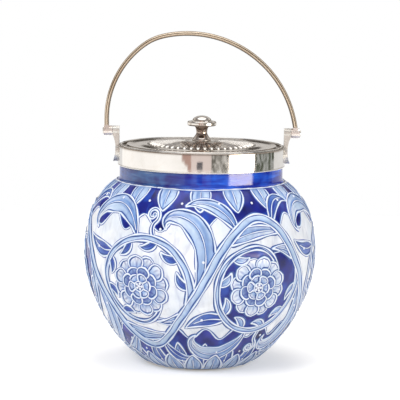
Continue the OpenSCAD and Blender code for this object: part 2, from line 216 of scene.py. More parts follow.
def glaze(name, wash=0.30, blue=0.16, rough=0.16):
    """Blue and white glaze over the piece's own colours: pooled, brushed, glossy"""
    look = Look(name, IOR=1.45)
    pools = look.noise(11, 4, twist=0.6)
    brush = look.noise(2.6, 3, stretch=(1, 1, 4))
    tone = look.math("MULTIPLY_ADD", pools, wash, 1.0 - wash * 0.52)
    tone = look.math("MULTIPLY_ADD", brush, wash * 0.5, look.math("SUBTRACT", tone, wash * 0.25))
    washed = look.mix(1.0, look.tint(), tone, "MULTIPLY")
    runs = look.steps(look.noise(7, 5, stretch=(1, 1, 2.2), twist=1.2), 0.50, 0.78)
    look.colour(look.mix(look.math("MULTIPLY", runs, blue), washed, DEEP))
    look.rough(look.steps(look.noise(6, 3), 0.3, 0.8, rough - 0.05, rough + 0.09))
    look.bump(look.math("MULTIPLY_ADD", look.noise(1.1, 2), 0.25, look.noise(5, 2)), 0.10, 0.5)
    return look.mat


def streaked(name):
    """The neck's glaze, brushed round it in strokes of dark and mid blue"""
    look = Look(name, IOR=1.6)
    strokes = look.noise(2.4, 4, stretch=(7, 7, 1), twist=0.3)
    pools = look.noise(16, 3, stretch=(1.5, 1.5, 1), twist=0.8)
    share = look.steps(look.math("MULTIPLY_ADD", pools, 0.9, look.math("MULTIPLY", strokes, 0.5)), 0.50, 0.92)
    base = look.mix(share, (0.002, 0.008, 0.280), (0.010, 0.120, 0.700))
    base = look.mix(look.steps(strokes, 0.58, 0.74, 0.0, 0.50), base, (0.050, 0.230, 0.820))
    look.colour(look.mix(1.0, base, look.tint(), "MULTIPLY"))
    look.rough(look.steps(pools, 0.3, 0.7, 0.06, 0.13))
    look.bump(strokes, 0.06, 0.5)
    return look.mat


def plate(name, base, wear_and_highlight, rough=0.10, wear=0.5, lines=(1, 1, 1), shaded=False, grain=0.5, dent=0.05,
          metal=1.0):
    """Old silver plate: cloudy wear, rubbing lines, small dents, and the mesh's own colours if shaded"""
    look = Look(name, Metallic=metal)
    clouds = look.noise(9, 4, twist=0.8)
    rubs = look.noise(grain, 3, stretch=lines)
    colour = look.mix(look.steps(clouds, 0.42, 0.72, 0.0, wear), base, wear_and_highlight)
    if shaded:
        colour = look.mix(1.0, colour, look.tint(), "MULTIPLY")
    look.colour(colour)
    spread = look.math("MULTIPLY_ADD", clouds, 0.10, rough - 0.05)
    look.rough(look.math("MULTIPLY_ADD", rubs, 0.08, look.math("SUBTRACT", spread, 0.04)))
    look.bump(look.math("MULTIPLY_ADD", rubs, 0.12, look.noise(4, 2)), dent, 0.35)
    return look.mat


def matt(name, base, other, grain=1.2, rough=0.8, depth=0.15):
    """A dull, grainy stuff of two colours"""
    look = Look(name)
    spots = look.noise(grain, 4)
    look.colour(look.mix(look.steps(look.noise(grain * 6, 3), 0.35, 0.7), base, other))
    look.rough(look.steps(spots, 0.3, 0.7, rough - 0.08, rough + 0.06))
    look.bump(spots, depth, 0.6)
    return look.mat


POT = glaze("pottery glaze", wash=0.42, blue=0.26)
LINES = glaze("slip line glaze", wash=0.10, blue=0.04, rough=0.14)
NECK = streaked("neck glaze")
INSIDE = glaze("inner glaze", wash=0.05, blue=0.03, rough=0.12)
BISCUIT = matt("bare foot", (0.62, 0.55, 0.45), (0.50, 0.42, 0.33), 0.7)
PLASTER = matt("plaster", (0.84, 0.81, 0.75), (0.72, 0.67, 0.58), 0.9)
SILVER = plate("collar plate", (0.87, 0.85, 0.82), (0.80, 0.76, 0.70), 0.07, 0.4, (12, 12, 1), shaded=True)
EAR_SILVER = plate("ear plate", (0.73, 0.70, 0.65), (0.52, 0.47, 0.41), 0.34, 0.7, metal=0.6)
EYE_SILVER = plate("eye plate", (0.82, 0.75, 0.70), (0.52, 0.41, 0.34), 0.22, 0.8, metal=0.65)
BOW_SILVER = plate("bow plate", (0.86, 0.72, 0.55), (0.70, 0.53, 0.36), 0.20, 0.6, shaded=True, grain=3,
                   dent=0.02, metal=0.5)
LID_SILVER = plate("lid plate", (0.84, 0.80, 0.75), (0.70, 0.64, 0.56), 0.10, 0.5, shaded=True)
KNOB_SILVER = plate("finial plate", (0.84, 0.80, 0.75), (0.62, 0.54, 0.46), 0.08, 0.6, shaded=True, dent=0.03)
BRASS = plate("fastener brass", (0.72, 0.55, 0.28), (0.45, 0.30, 0.15), 0.28, 0.8)


# ---------------- meshes
class Soup:
    """Points, faces and colours of one mesh, gathered grid by grid; points in mm"""

    def __init__(self):
        self.points, self.faces, self.tints, self.slots, self.count = [], [], [], [], 0

    def grid(self, points, tint=(1, 1, 1), round_rows=False, round_cols=False, slot=0, outward=None):
        """A grid of points (rows, columns, 3); outward gives a side for its faces"""
        rows, cols = points.shape[:2]
        i = np.arange(rows if round_rows else rows - 1)[:, None]
        j = np.arange(cols if round_cols else cols - 1)[None, :]
        i2, j2 = (i + 1) % rows, (j + 1) % cols
        quads = np.stack([i * cols + j, i * cols + j2, i2 * cols + j2, i2 * cols + j], -1).reshape(-1, 4)
        flat = points.reshape(-1, 3)
        if outward is not None:
            q = flat[quads]
            facing = np.cross(q[:, 1] - q[:, 0], q[:, 3] - q[:, 0])
            if np.sum(facing * outward(q.mean(1))) < 0:
                quads = quads[:, ::-1]
        self.points.append(flat)
        self.faces.append(quads + self.count)
        self.tints.append(np.broadcast_to(np.asarray(tint, float), points.shape).reshape(-1, 3))
        self.slots.append(np.full(len(quads), slot))
        self.count += len(flat)

    def build(self, name, mats, body, finish, replaced=(), sharp=None):
        """The piece, riding on a body; edges sharper than an angle stay hard"""
        points = np.concatenate(self.points) * MM
        faces = np.concatenate(self.faces)
        mesh = bpy.data.meshes.new(name)
        mesh.from_pydata(points.tolist(), [], faces.tolist())
        mesh.update()
        tint = mesh.color_attributes.new("tint", "FLOAT_COLOR", "POINT")
        colours = np.concatenate(self.tints)
        tint.data.foreach_set("color", np.c_[colours, np.ones(len(colours))].ravel())
        for mat in mats:
            mesh.materials.append(mat)
        mesh.polygons.foreach_set("material_index", np.concatenate(self.slots))
        mesh.polygons.foreach_set("use_smooth", [True] * len(faces))
        if sharp:
            mesh.set_sharp_from_angle(angle=math.radians(sharp))
        piece = bpy.data.objects.new(name, mesh)
        scene.collection.objects.link(piece)
        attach(piece, body)
        if replaced:
            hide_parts(*replaced)
        return piece


def ray(angle):
    """The direction of an angle"""
    return np.array((math.cos(angle), math.sin(angle)))


def cubic(a, b, c, d, count):
    """A curve from a to d that leaves towards b and arrives from c"""
    t = np.linspace(0, 1, count)[:, None]
    a, b, c, d = (np.asarray(p, float) for p in (a, b, c, d))
    return a * (1 - t) ** 3 + 3 * b * t * (1 - t) ** 2 + 3 * c * t * t * (1 - t) + d * t ** 3


def softened(corners, radius, steps=4):
    """An outline with each inner corner rounded off, and points beside each bend that keep the flats flat"""
    made = [corners[0]]
    for a, b, c in zip(corners, corners[1:], corners[2:]):
        a, b, c = (np.asarray(p, float) for p in (a, b, c))
        r = min(radius, np.linalg.norm(a - b) * 0.42, np.linalg.norm(c - b) * 0.42)
        p = b + (a - b) / np.linalg.norm(a - b) * r
        q = b + (c - b) / np.linalg.norm(c - b) * r
        made.append(b + (p - b) * 1.15)
        for t in np.linspace(0, 1, steps + 1):
            made.append(p * (1 - t) ** 2 + 2 * b * t * (1 - t) + q * t * t)
        made.append(b + (q - b) * 1.15)
    made.append(corners[-1])
    return np.array([tuple(p) for p in made])


def turned(profile, count):
    """Grid of points: each row one radius and height, turned round the axis"""
    profile = np.asarray(profile, float)
    angle = np.arange(count) * TAU / count
    r, z = profile[:, 0:1], profile[:, 1:2]
    return np.stack([r * np.cos(angle), r * np.sin(angle), z + 0 * angle], -1)


def lathe(name, profile, mat, body, finish, replaced, count=TURNED_ROUND, closed=True, tint=(1, 1, 1)):
    """A turned piece from an outline of (radius, height) that runs anticlockwise"""
    soup = Soup()
    profile = [(max(r, AXIS_R), z) for r, z in profile]
    soup.grid(turned(profile, count)[:, ::-1], tint, round_rows=closed, round_cols=True)
    return soup.build(name, [mat], body, finish, replaced, 40)


def rect(r0, r1, z0, z1, soft=0.15):
    """The outline of a ring's section, anticlockwise, with soft corners"""
    mid = (r0 + r1) / 2
    ring = [(mid, z0), (r1, z0), (r1, z1), (r0, z1), (r0, z0), (mid, z0)]
    return softened(ring, soft)[:-1]


def circle(r, z, radius, count):
    """The outline of a round wire's section"""
    a = np.linspace(0, TAU, count + 1)[:-1]
    return np.stack([r + radius * np.cos(a), z + radius * np.sin(a)], -1)


def tarnished_and_shaded(share, stain_and_shade=TARNISH_AND_SHADE):
    """What a bright piece's rows are multiplied by, darkened by a share of a colour: tarnish and painted
    shade
    """
    return blend((1, 1, 1), stain_and_shade, share)[:, None]


# ---------------- the pot
foot_end, belly = np.array((FOOT_R, 0.0)), np.array((BELLY_R, BELLY_Z))
shoulder = np.array((SHOULDER_R, SHOULDER_Z))
low = cubic(foot_end, foot_end + FOOT_PULL * ray(FOOT_SLOPE), belly - (0, BELLY_PULL_LOW), belly, 70)
high = cubic(belly, belly + (0, BELLY_PULL_UP), shoulder + SHOULDER_PULL * ray(-SHOULDER_SLOPE), shoulder, 60)
cove = cubic(shoulder, shoulder + (-SHOULDER_STEP / 2, COVE_LIFT), (NECK_R, SHOULDER_Z + SHOULDER_STEP / 2),
             (NECK_R, COVE_Z), 12)
side = np.concatenate([low[:-1], high[:-1], cove])
reach = np.concatenate([[0], np.cumsum(np.linalg.norm(np.diff(side, axis=0), axis=1))])
slope = np.gradient(side, reach, axis=0)
slope /= np.linalg.norm(slope, axis=1)[:, None]
SIDE_LENGTH = float(reach[-1])
# how many of the side's points stay bare above the foot, and how far up the side the glaze's own rows go
BARE, GLAZE_TOP, GLAZE_STEP = 6, SIDE_LENGTH - 3.4, 1.5


def at(v, k):
    """Radius (k = 0) or height (k = 1) of the side, v mm up it"""
    return np.interp(v, reach, side[:, k])


def on_pot(x, v, height, turn=0.0):
    """Points on the pot: x mm along the belly line, v mm up the side, height mm proud"""
    angle = np.asarray(x) / BELLY_R + turn
    # a hand's small unevenness, never the same twice round the pot
    v = v + 0.35 * np.sin(4 * angle + v / 13) + 0.25 * np.sin(7 * angle - v / 9 + 1)
    angle = angle + (0.35 * np.sin(5 * angle + v / 11 + 2) + 0.2 * np.sin(8 * angle - v / 7)) / BELLY_R
    nr, nz = np.interp(v, reach, slope[:, 1]), -np.interp(v, reach, slope[:, 0])
    r = at(v, 0) + height * nr
    return np.stack([r * np.cos(angle), r * np.sin(angle), at(v, 1) + height * nz], -1)


def wall_tint(v, angle):
    """Milky glaze with faint blue clouds, bluer towards the foot"""
    cloud = 0.5 + 0.5 * np.sin(3 * angle + 1)[None, :] * np.sin(v / 23)[:, None]
    return blend(MILK, SKY, 0.10 + 0.16 * cloud + 0.45 * np.clip(1 - v / 30, 0, 1)[:, None])


def neck_tint(angle):
    """What the neck's glaze is multiplied by: purple and clear blue by turns, brighter between"""
    hue = 0.5 - 0.5 * np.sin(2 * angle[::-1])
    lift = (1.35 - 0.5 * np.abs(2 * hue - 1))[:, None]
    return blend((4.0, 1.1, 0.48), (0.6, 0.9, 1.1), hue) * lift


def pot_inside():
    """The outline of the rebate under the collar, the mouth, the inner side and the floor"""
    curved = len(low) + len(high) - 2
    inner = side[:curved] - WALL * np.stack([slope[:, 1], -slope[:, 0]], -1)[:curved]
    inner = inner[(inner[:, 1] > FLOOR_Z + 2.5) & (inner[:, 0] > FLOOR_BEND_R)]
    lip = softened([(BEDDED_R, COLLAR_Z), (BEDDED_R, POTTERY_TOP), (MOUTH_R, POTTERY_TOP),
                    (MOUTH_R, SHOULDER_Z + 1.0)], 0.7)
    down = [p for p in inner[::-1] if p[1] < SHOULDER_Z - 3]
    floor = softened([tuple(down[-1]), (FLOOR_BEND_R + 0.5, FLOOR_Z), (AXIS_R, FLOOR_Z)], 4, 6)
    return np.concatenate([lip, down[:-1], floor])


def make_pot():
    """The bare foot, the glazed side, the neck and the inside, each in its own material"""
    soup = Soup()
    angle = np.arange(POT_ROUND) * TAU / POT_ROUND
    foot = softened([(AXIS_R, FOOT_RECESS), (FOOT_IN_R, FOOT_RECESS), (FOOT_IN_R, 0.0), (FOOT_R, 0.0),
                     tuple(side[BARE])], 0.7)
    v = np.arange(reach[BARE], GLAZE_TOP, GLAZE_STEP)
    wall = np.stack([at(v, 0), at(v, 1)], -1)
    neck = np.concatenate([wall[-1:], side[reach > v[-1] + 0.2],
                           [(NECK_R, z) for z in np.arange(COVE_Z + 1, COLLAR_Z, 1.0)],
                           [(NECK_R, COLLAR_Z), (BEDDED_R, COLLAR_Z)]])
    bands = [(foot, (1, 1, 1), 2), (wall, wall_tint(v, angle), 0), (neck, neck_tint(angle), 1),
             (pot_inside(), (0.80, 0.79, 0.76), 3)]
    for outline, tint, slot in bands:
        soup.grid(turned(outline, POT_ROUND)[:, ::-1], tint, round_cols=True, slot=slot)
    soup.build("pot", [POT, NECK, BISCUIT, INSIDE], "jar", "glazed_pottery", ["pottery_body"], 42)


make_pot()

# ---------------- the painted design
# One repeat is a third of the way round.  A stem waves up and down, and in each bay
# of it a branch curls round a rosette.  The ground is white, but for dark fields with
# scalloped edges under the neck and on the foot, and inside the curls below the stem.
# Rows of leaves stand on the foot and hang from the neck.  x runs along the belly
# line, v up the side, both in mm.
REPEAT = TAU * BELLY_R / 3
# the field's ends, the middle of the stem and how far it swings, and where a repeat starts
FIELD_LOW, FIELD_HIGH, STEM_V, SWING = 4.5, SIDE_LENGTH - 3.2, 79.0, 46.0
START = -math.pi / 2 - math.radians(30)
# the curl: its first radius, the angles it runs between, and where its inside opens to the stem
CURL_R, CURL_FROM, CURL_TO, CURL_OPENS = 35.5, -34, 338, 292
# the dark fields' edges: their height, and the depth and number of their scallops
NECK_EDGE, NECK_SCALLOP, NECK_SCALLOPS = 126.0, 11.0, 6
FOOT_EDGE, FOOT_SCALLOP, FOOT_SCALLOPS = 41.0, 9.0, 7
# the layers from the ground up; every other petal of a ring lies one layer higher
(FIELD, ROW_BACK, BACK, LEAF, SPRIG, BRANCH, STEM, ROW_FRONT, OUTER, OUTER_HIGH, INNER, INNER_HIGH, HEART,
 HEART_HIGH, EYE) = LAYERS = range(15)
PROUD = [0.05 + 0.022 * layer for layer in LAYERS]
# slip lines: half their width and their height; dots: their radius and height
LEAF_LINE, RIB_LINE, STEM_LINE, FIELD_LINE = (0.60, 0.48), (0.36, 0.30), (0.60, 0.50), (0.50, 0.42)
DOT_R, DOT_H = 0.95, 0.5
# where the points across a leaf lie, close together along its edges and its rib
ACROSS = np.array([-1, -0.9, -0.74, -0.56, -0.38, -0.2, -0.05, 0.05, 0.2, 0.38, 0.56, 0.74, 0.9, 1])


def bezier(points, t):
    """A smooth curve through its first and last point, pulled by the others"""
    points = [np.asarray(p, float)[None] for p in points]
    while len(points) > 1:
        points = [a * (1 - t[:, None]) + b * t[:, None] for a, b in zip(points, points[1:])]
    return points[0]


def beside(path):
    """The unit vectors to the left of a path"""
    along = np.gradient(path, axis=0)
    along /= np.linalg.norm(along, axis=1)[:, None] + 1e-9
    return np.stack([-along[:, 1], along[:, 0]], -1)


def blade(spine, width, tones, plump=0.8, blunt=1.0, shade=0.8, rows=24, lobes=0.0, rib=True):
    """A leaf or petal along a spine: its grid, colours, edge and slip lines"""
    s = np.linspace(0, 1, rows)
    path = bezier(spine, s)
    swell = np.sin(math.pi * s ** plump) ** blunt
    half = width / 2 * swell / swell.max()
    lobed = half * (1 + lobes * np.abs(np.sin(3.2 * math.pi * s)) * (s > 0.12))
    sides = np.where(ACROSS[None, :] < 0, half[:, None], lobed[:, None])
    grid = path[:, None, :] + beside(path)[:, None, :] * (ACROSS[None, :] * sides)[..., None]
    tone = np.where(s[:, None] < 0.45, blend(tones[0], tones[1], np.clip(s / 0.45, 0, 1) ** 0.7),
                    blend(tones[1], tones[2], np.clip((s - 0.45) / 0.5, 0, 1)))
    # one half lies in the shade of the rib, the brush leaves streaks, and the wash pools at the edge
    dim = np.interp(ACROSS, [-1, -0.7, -0.05, 0.05, 0.35, 0.8, 1], [0.9, 0.4, 1.1, 0.6, 0.1, 0.0, 0.9])
    key = path[0, 0] * 1.7 + path[0, 1] * 0.9
    streak = 0.40 * np.sin(ACROSS[None] * 11 + key + 2.5 * s[:, None]) * np.sin(9 * s[:, None] + key * 1.3)
    share = np.clip(dim[None] * shade + streak - 0.10 * s[:, None], 0, 1)
    tone = tone[:, None] * (1 - share[..., None]) + np.asarray(tones[0]) * share[..., None]
    ends = np.interp(s, [0, 0.10, 0.93, 1], [0.75, 0, 0, 0.5])[:, None, None]
    tone = tone * (1 - ends) + np.asarray(DEEP) * ends
    edge = np.concatenate([grid[:, 0], grid[::-1, -1][1:]])
    lines = [(edge, LEAF_LINE)]
    if rib:
        lines.append((path[(s > 0.03) & (s < 0.80)], RIB_LINE))
    return {"grid": grid, "tone": tone, "edge": edge, "lines": lines}


def band(path, half, tones):
    """A stem: a strip along a path, pale on one side and shaded on the other"""
    across = np.array([-1, -0.8, -0.45, -0.1, 0.3, 0.7, 1.0])
    half = np.broadcast_to(np.asarray(half, float), len(path))
    grid = path[:, None, :] + beside(path)[:, None, :] * (across[None, :] * half[:, None])[..., None]
    tone = blend(tones[0], tones[1], np.array([0.0, 0.15, 0.4, 0.85, 1.0, 1.0, 0.55]))
    left, right = grid[:, 0], grid[:, -1]
    return {"grid": grid, "tone": np.broadcast_to(tone[None], grid.shape[:2] + (3,)),
            "edge": np.concatenate([left, right[::-1]]), "lines": [(left, STEM_LINE), (right, STEM_LINE)]}


def disc(middle, radius, tone):
    """A round spot in one colour, with a slip line round it"""
    t = np.linspace(0, TAU, 25)
    rings = np.array([0.01, 0.5, 0.85, 1.0]) * radius
    grid = np.stack([middle[0] + rings[:, None] * np.cos(t), middle[1] + rings[:, None] * np.sin(t)], -1)
    return {"grid": grid, "tone": np.broadcast_to(np.asarray(tone), grid.shape[:2] + (3,)), "edge": grid[-1],
            "lines": [(grid[-1], FIELD_LINE)]}


def polar(phi, r):
    """A point or points at an angle in degrees and a distance"""
    phi = np.radians(phi)
    return np.stack([r * np.cos(phi), r * np.sin(phi)], -1)


def stem_v(x):
    """How far up the side the waving stem runs"""
    return STEM_V - SWING * np.cos(TAU * x / REPEAT)


def curl_r(phi):
    """Distance of the curling branch from the rosette's middle, at an angle in degrees"""
    gone = (np.asarray(phi, float) - CURL_FROM) / (CURL_TO - CURL_FROM)
    return CURL_R - 11.0 * gone - 12.0 * np.clip(gone - 0.80, 0, 1) ** 1.3 / 0.2 ** 1.3 * 0.8


def tendril(root, middle, r0, a0, turns, half=1.05):
    """A thin shoot from its root that winds up round a middle and ends in a bud"""
    t = np.linspace(0, 1, 44)
    coil = np.asarray(middle) + polar(a0 + 360 * turns * t, r0 * (1 - 0.78 * t))
    onward = (coil[1] - coil[0]) / np.linalg.norm(coil[1] - coil[0])
    bend = coil[0] - onward * np.linalg.norm(coil[0] - root) * 0.5
    lead = bezier((root, bend, coil[0]), np.linspace(0, 1, 12))[:-1]
    path = np.concatenate([lead, coil])
    return [(SPRIG, band(path, np.linspace(half, half * 0.6, len(path)), (AZURE, PALE))),
            (SPRIG, disc(coil[-1], 1.5, SKY))]


def rosette(on_white):
    """Three rings of petals round an eye; its outer petals are darker on the white ground"""
    # layer, number, turn, inner and outer end, width and colours of each ring
    rings = [(OUTER, 12, 8, 7.0, 20.3, 10.6, (DEEP, SKY, MILK) if on_white else (MID, PALE, MILK)),
             (INNER, 8, 25, 3.0, 13.2, 9.0, (COBALT, DEEP, SKY)),
             (HEART, 6, 5, 2.0, 8.4, 7.0, (MID, SKY, MILK))]
    made = []
    for layer, count, turn, r0, r1, width, colours in rings:
        for i in range(count):
            a = turn + i * 360 / count
            spine = (polar(a, r0), polar(a + 4, (r0 + r1) / 2), polar(a, r1))
            petal = blade(spine, width, colours, plump=1.7, blunt=0.6, shade=0.35, rows=16, rib=False)
            made.append((layer + i % 2, petal))
    return made + [(EYE, disc((0, 0), 3.3, COBALT))]


def cell(on_white):
    """A curled branch with its rosette, leaves and dots, about the rosette's middle and above the stem"""
    phi = np.linspace(CURL_FROM, CURL_TO, 100)
    half = np.interp(phi, [CURL_FROM, CURL_FROM + 16, CURL_TO], [0.8, 2.4, 1.0])
    made = [(BRANCH, band(polar(phi, curl_r(phi)), half, (AZURE, PALE)))]
    light, deep = (AZURE, PALE, MILK), (DEEP, MID, SKY)
    made += [
        (LEAF, blade(((35, -4), (55, 18), (48, 58), (8, 52), (18, 37)), 14.0, light, lobes=0.16)),
        (LEAF, blade(((-3, 32), (-10, 56), (-38, 64), (-56, 42), (-42, 34)), 13.0, light, lobes=0.16)),
        (BACK, blade(((-22, 22), (-36, 18), (-50, 29)), 9.5, deep)),
        (LEAF, blade(((-26, -27), (-4, -43), (21, -34)), 9.0, light)),
        (BACK, blade(((66, 37), (60, 54), (38, 62), (30, 54)), 10.0, light)),
        (BACK, blade(((-70, 40), (-66, 58), (-52, 62), (-44, 54)), 9.0, deep)),
        (LEAF, blade(((33, -14), (24, -27), (9, -25)), 6.0, light))]
    made += tendril((9, 33), (7, 47), 5.6, -60, 1.15)
    for a in (0, 34, 68, 104, 142, 184, 226):
        r = float(curl_r(a))
        spine = (polar(a, r), polar(a + 7, r - 8.0), polar(a + 24, r - 6.2))
        made.append((SPRIG, blade(spine, 5.0, deep if on_white else light, rib=False, rows=12)))
    made += rosette(on_white)
    dots = [(EYE, polar(a, 1.9)) for a in range(0, 360, 72)] + [(EYE, polar(0, 0))]
    dots += [(LEAF, polar(a, r)) for a, r in ((70, 40), (60, 41), (205, 42), (196, 45), (150, 44))]
    return made, dots


def inside_shape(points, edge):
    """Which points lie inside a closed outline"""
    x, y = points[:, 0:1], points[:, 1:2]
    x0, y0 = edge[:, 0][None], edge[:, 1][None]
    x1, y1 = np.roll(edge[:, 0], -1)[None], np.roll(edge[:, 1], -1)[None]
    crosses = ((y0 > y) != (y1 > y)) & (x < (x1 - x0) * (y - y0) / (y1 - y0 + 1e-12) + x0)
    return crosses.sum(1) % 2 == 1


def runs(path, keep):
    """The stretches of a path whose points are kept"""
    made, now = [], []
    for point, good in zip(path, keep):
        if good:
            now.append(point)
        elif now:
            made.append(np.array(now))
            now = []
    if now:
        made.append(np.array(now))
    return [m for m in made if len(m) > 2]


def evenly(path, step=1.0, count=None):
    """A path again, with points about a step apart, or a number of them"""
    gone = np.concatenate([[0], np.cumsum(np.linalg.norm(np.diff(path, axis=0), axis=1))])
    want = np.linspace(0, gone[-1], count or max(3, int(gone[-1] / step) + 1))
    return np.stack([np.interp(want, gone, path[:, k]) for k in (0, 1)], -1)


def outwards(p):
    """The outer side, seen from the middle of the pot"""
    return p - np.array((0, 0, BELLY_Z))


# a slip line's section: sideways in halves of its width, upwards in its height, colour
BEAD = [(-2.1, 0.0, MID), (-1.15, 0.04, INK), (-0.95, 0.45, AZURE), (-0.6, 0.85, PALE), (0, 1.0, SLIP),
        (0.6, 0.85, MILK), (0.9, 0.45, SKY), (1.05, 0.04, DEEP), (1.7, 0.0, MID)]


def slip_line(soup, path, size, seat, turn):
    """A bead of white slip, half round, with the blue that pools beside it"""
    half, high = size
    p = on_pot(path[:, 0], path[:, 1], seat, turn)
    up = on_pot(path[:, 0], path[:, 1], seat + 1, turn) - p
    along = np.gradient(p, axis=0)
    along /= np.linalg.norm(along, axis=1)[:, None] + 1e-9
    sideways = np.cross(along, up)
    n = len(p)
    taper = np.clip(np.minimum(np.arange(n), np.arange(n)[::-1]) / 2.0 + 0.35, 0, 1)
    if np.linalg.norm(p[0] - p[-1]) < 0.6:
        taper[:] = 1.0
    swell = taper * (1 + 0.26 * np.sin(np.arange(n) * 0.31 + path[0, 0]))
    wide, tall = (np.array([b[k] for b in BEAD])[None, :, None] for k in (0, 1))
    grid = p[:, None] + (sideways[:, None] * wide * half + up[:, None] * tall * high) * swell[:, None, None]
    soup.grid(grid, np.array([b[2] for b in BEAD])[None], outward=outwards)


def cloudy(x, v, turn):
    """Uneven washes: 0 to 1, the same where one way round the pot meets the other"""
    a = x / BELLY_R + turn
    return np.clip(0.42 + 0.26 * np.sin(6 * a + v / 12) + 0.18 * np.sin(13 * a - v / 7 + 2)
                   + 0.12 * np.sin(31 * a + v / 3.1) + 0.10 * np.sin(19 * a - v / 2.2), 0, 1)


def ground_tone(x, v, turn, dark):
    """Cobalt pooled nearly black, thinned to purple grey and to azure; white glaze where dark is 0"""
    cloud, drift = cloudy(x, v, turn), cloudy(1.7 * x + 11, 31 - 1.4 * v, 2 * turn)
    tone = blend(blend(INK, COBALT, np.clip(drift * 2.6, 0, 1)), WASH, cloud ** 2)
    tone = blend(tone, DRIFT, np.clip(drift * 3 - 1.75, 0, 1) * 0.8)
    pale = blend(MILK, PALE, cloud * 0.45)
    half = blend(pale, AZURE, np.clip(dark * 2, 0, 1))
    return blend(half, tone, np.clip(dark * 2 - 1, 0, 1))


def paint(soup, x, v, proud, turn, tone):
    """A grid that lies on the pot"""
    soup.grid(on_pot(x, v, proud, turn), tone, outward=outwards)


def make_curl_ground(soup, turn):
    """The ground inside both curls: gives the lines that close their openings, and its outlines"""
    end = 360 + CURL_FROM
    angle, out = np.meshgrid(np.linspace(CURL_FROM, end, 90), np.linspace(0.3, 1, 20), indexing="ij")
    gone = (angle - CURL_OPENS) / (end - CURL_OPENS)
    closing = curl_r(CURL_OPENS) + gone * (CURL_R - curl_r(CURL_OPENS))
    rim = np.where(angle < CURL_OPENS, curl_r(angle), closing)
    seams, outlines = [], []
    for middle, flip, dark in ((REPEAT / 2, -1, 1.0), (0, 1, 0.0)):
        part = polar(angle, out * rim) * (1, flip) + (middle, STEM_V)
        x, v = part[..., 0], part[..., 1]
        paint(soup, x, v, PROUD[FIELD] + 0.02, turn, ground_tone(x, v, turn, dark + 0 * v))
        seams.append(part[angle[:, 0] >= CURL_OPENS, -1])
        outlines.append(part[:, -1])
    return seams, outlines


def make_ground(soup, turn):
    """Dark fields with scalloped edges under the neck and on the foot, white between: gives those edges"""
    across = np.linspace(0, REPEAT, 127)
    stem = stem_v(across)
    neck_edge = NECK_EDGE - NECK_SCALLOP * np.sin(NECK_SCALLOPS * math.pi * across / REPEAT) ** 2
    foot_edge = FOOT_EDGE + FOOT_SCALLOP * np.cos(FOOT_SCALLOPS * math.pi * across / REPEAT) ** 2
    high, low = np.maximum(stem + 0.8, neck_edge), np.minimum(stem - 0.8, foot_edge)
    share = np.linspace(0, 1, 30)[:, None]
    fields = [(FIELD_LOW, low, 1.0), (low, stem, 0.0), (stem, high, 0.0), (high, FIELD_HIGH, 1.0)]
    for bottom, top, dark in fields:
        v = bottom * (1 - share) + top * share
        x = across + 0 * v
        paint(soup, x, v, PROUD[FIELD], turn, ground_tone(x, v, turn, dark + 0 * v))
    edges = []
    for edge in (low, high):
        edges += runs(np.stack([across, edge], -1), np.abs(edge - stem) > 2.2)
    return edges


def leaf_rows():
    """Rows of leaves and dots on the foot and under the neck, cut off level by the field's ends"""
    # number, heights of root and tip, layer, width in shares of the room, colours and offset of each row
    rows = [(7, 1.0, 37.0, ROW_BACK, 0.60, (DEEP, MID, SKY), 0.0),
            (7, -4.0, 25.0, ROW_FRONT, 0.92, (AZURE, PALE, PALE), 0.5),
            (6, 155.0, 129.0, ROW_BACK, 0.60, (AZURE, PALE, PALE), 0.5)]
    shapes, dots = [], []
    for count, v0, v1, layer, full, tones, offset in rows:
        room = REPEAT / count
        for i in range(count):
            x = (i + offset) * room
            spine = ((x, v0), (x + 0.5, v0 * 0.6 + v1 * 0.4), (x - 0.5, v0 * 0.3 + v1 * 0.7), (x, v1))
            leaf = blade(spine, room * full, tones, plump=0.75, blunt=0.8)
            leaf["lines"] = [(line[(line[:, 1] > FIELD_LOW) & (line[:, 1] < FIELD_HIGH)], size)
                             for line, size in leaf["lines"]]
            leaf["grid"][..., 1] = np.clip(leaf["grid"][..., 1], FIELD_LOW, FIELD_HIGH)
            shapes.append((layer, leaf))
            dots.append((ROW_FRONT, np.array(((i + offset + 0.5) * room, v1 * 0.75 + v0 * 0.25))))
    return shapes, dots


def one_repeat():
    """What is painted on the ground of one repeat: shapes and dots, with their layers"""
    x = np.linspace(0, REPEAT, 140)
    shapes = [(STEM, band(np.stack([x, stem_v(x)], -1), 2.7, (AZURE, PALE)))]
    dots = []
    for shift, up in ((0.0, 1), (REPEAT / 2, -1)):
        parts, points = cell(up > 0)
        move, flip = np.array((shift, STEM_V)), np.array((1, up))
        for layer, part in parts:
            part["grid"] = part["grid"] * flip + move
            part["edge"] = part["edge"] * flip + move
            part["lines"] = [(line * flip + move, size) for line, size in part["lines"]]
            shapes.append((layer, part))
        dots += [(layer, p * flip + move) for layer, p in points]
    row_shapes, row_dots = leaf_rows()
    return shapes + row_shapes, dots + row_dots


def uncovered(lines, covers):
    """The stretches of lines over which no outline of a higher layer lies"""
    edges = [(layer, edge + (k * REPEAT, 0)) for layer, edge in covers for k in (-1, 0, 1)]
    boxes = [(layer, edge, edge.min(0), edge.max(0)) for layer, edge in edges]
    made = []
    for layer, line, size in lines:
        line = evenly(line, 0.85)
        keep = np.ones(len(line), bool)
        line_low, line_high = line.min(0), line.max(0)
        for top, edge, edge_low, edge_high in boxes:
            if top > layer and (edge_low < line_high).all() and (edge_high > line_low).all():
                keep &= ~inside_shape(line, edge)
        made += [(layer, run, size) for run in runs(line, keep)]
    return made


def slip_dot(soup, middle, seat, turn):
    """A small dome of slip"""
    t, a = np.linspace(0, math.pi / 2, 4)[:, None], np.linspace(0, TAU, 11)[None]
    x, v = middle[0] + DOT_R * np.cos(t) * np.cos(a), middle[1] + DOT_R * np.cos(t) * np.sin(a)
    flat = on_pot(x, v, 0.0, turn)
    lift = (on_pot(x, v, 1.0, turn) - flat) * (seat + DOT_H * np.sin(t) + 0 * a)[..., None]
    soup.grid(flat + lift, SLIP, outward=outwards)


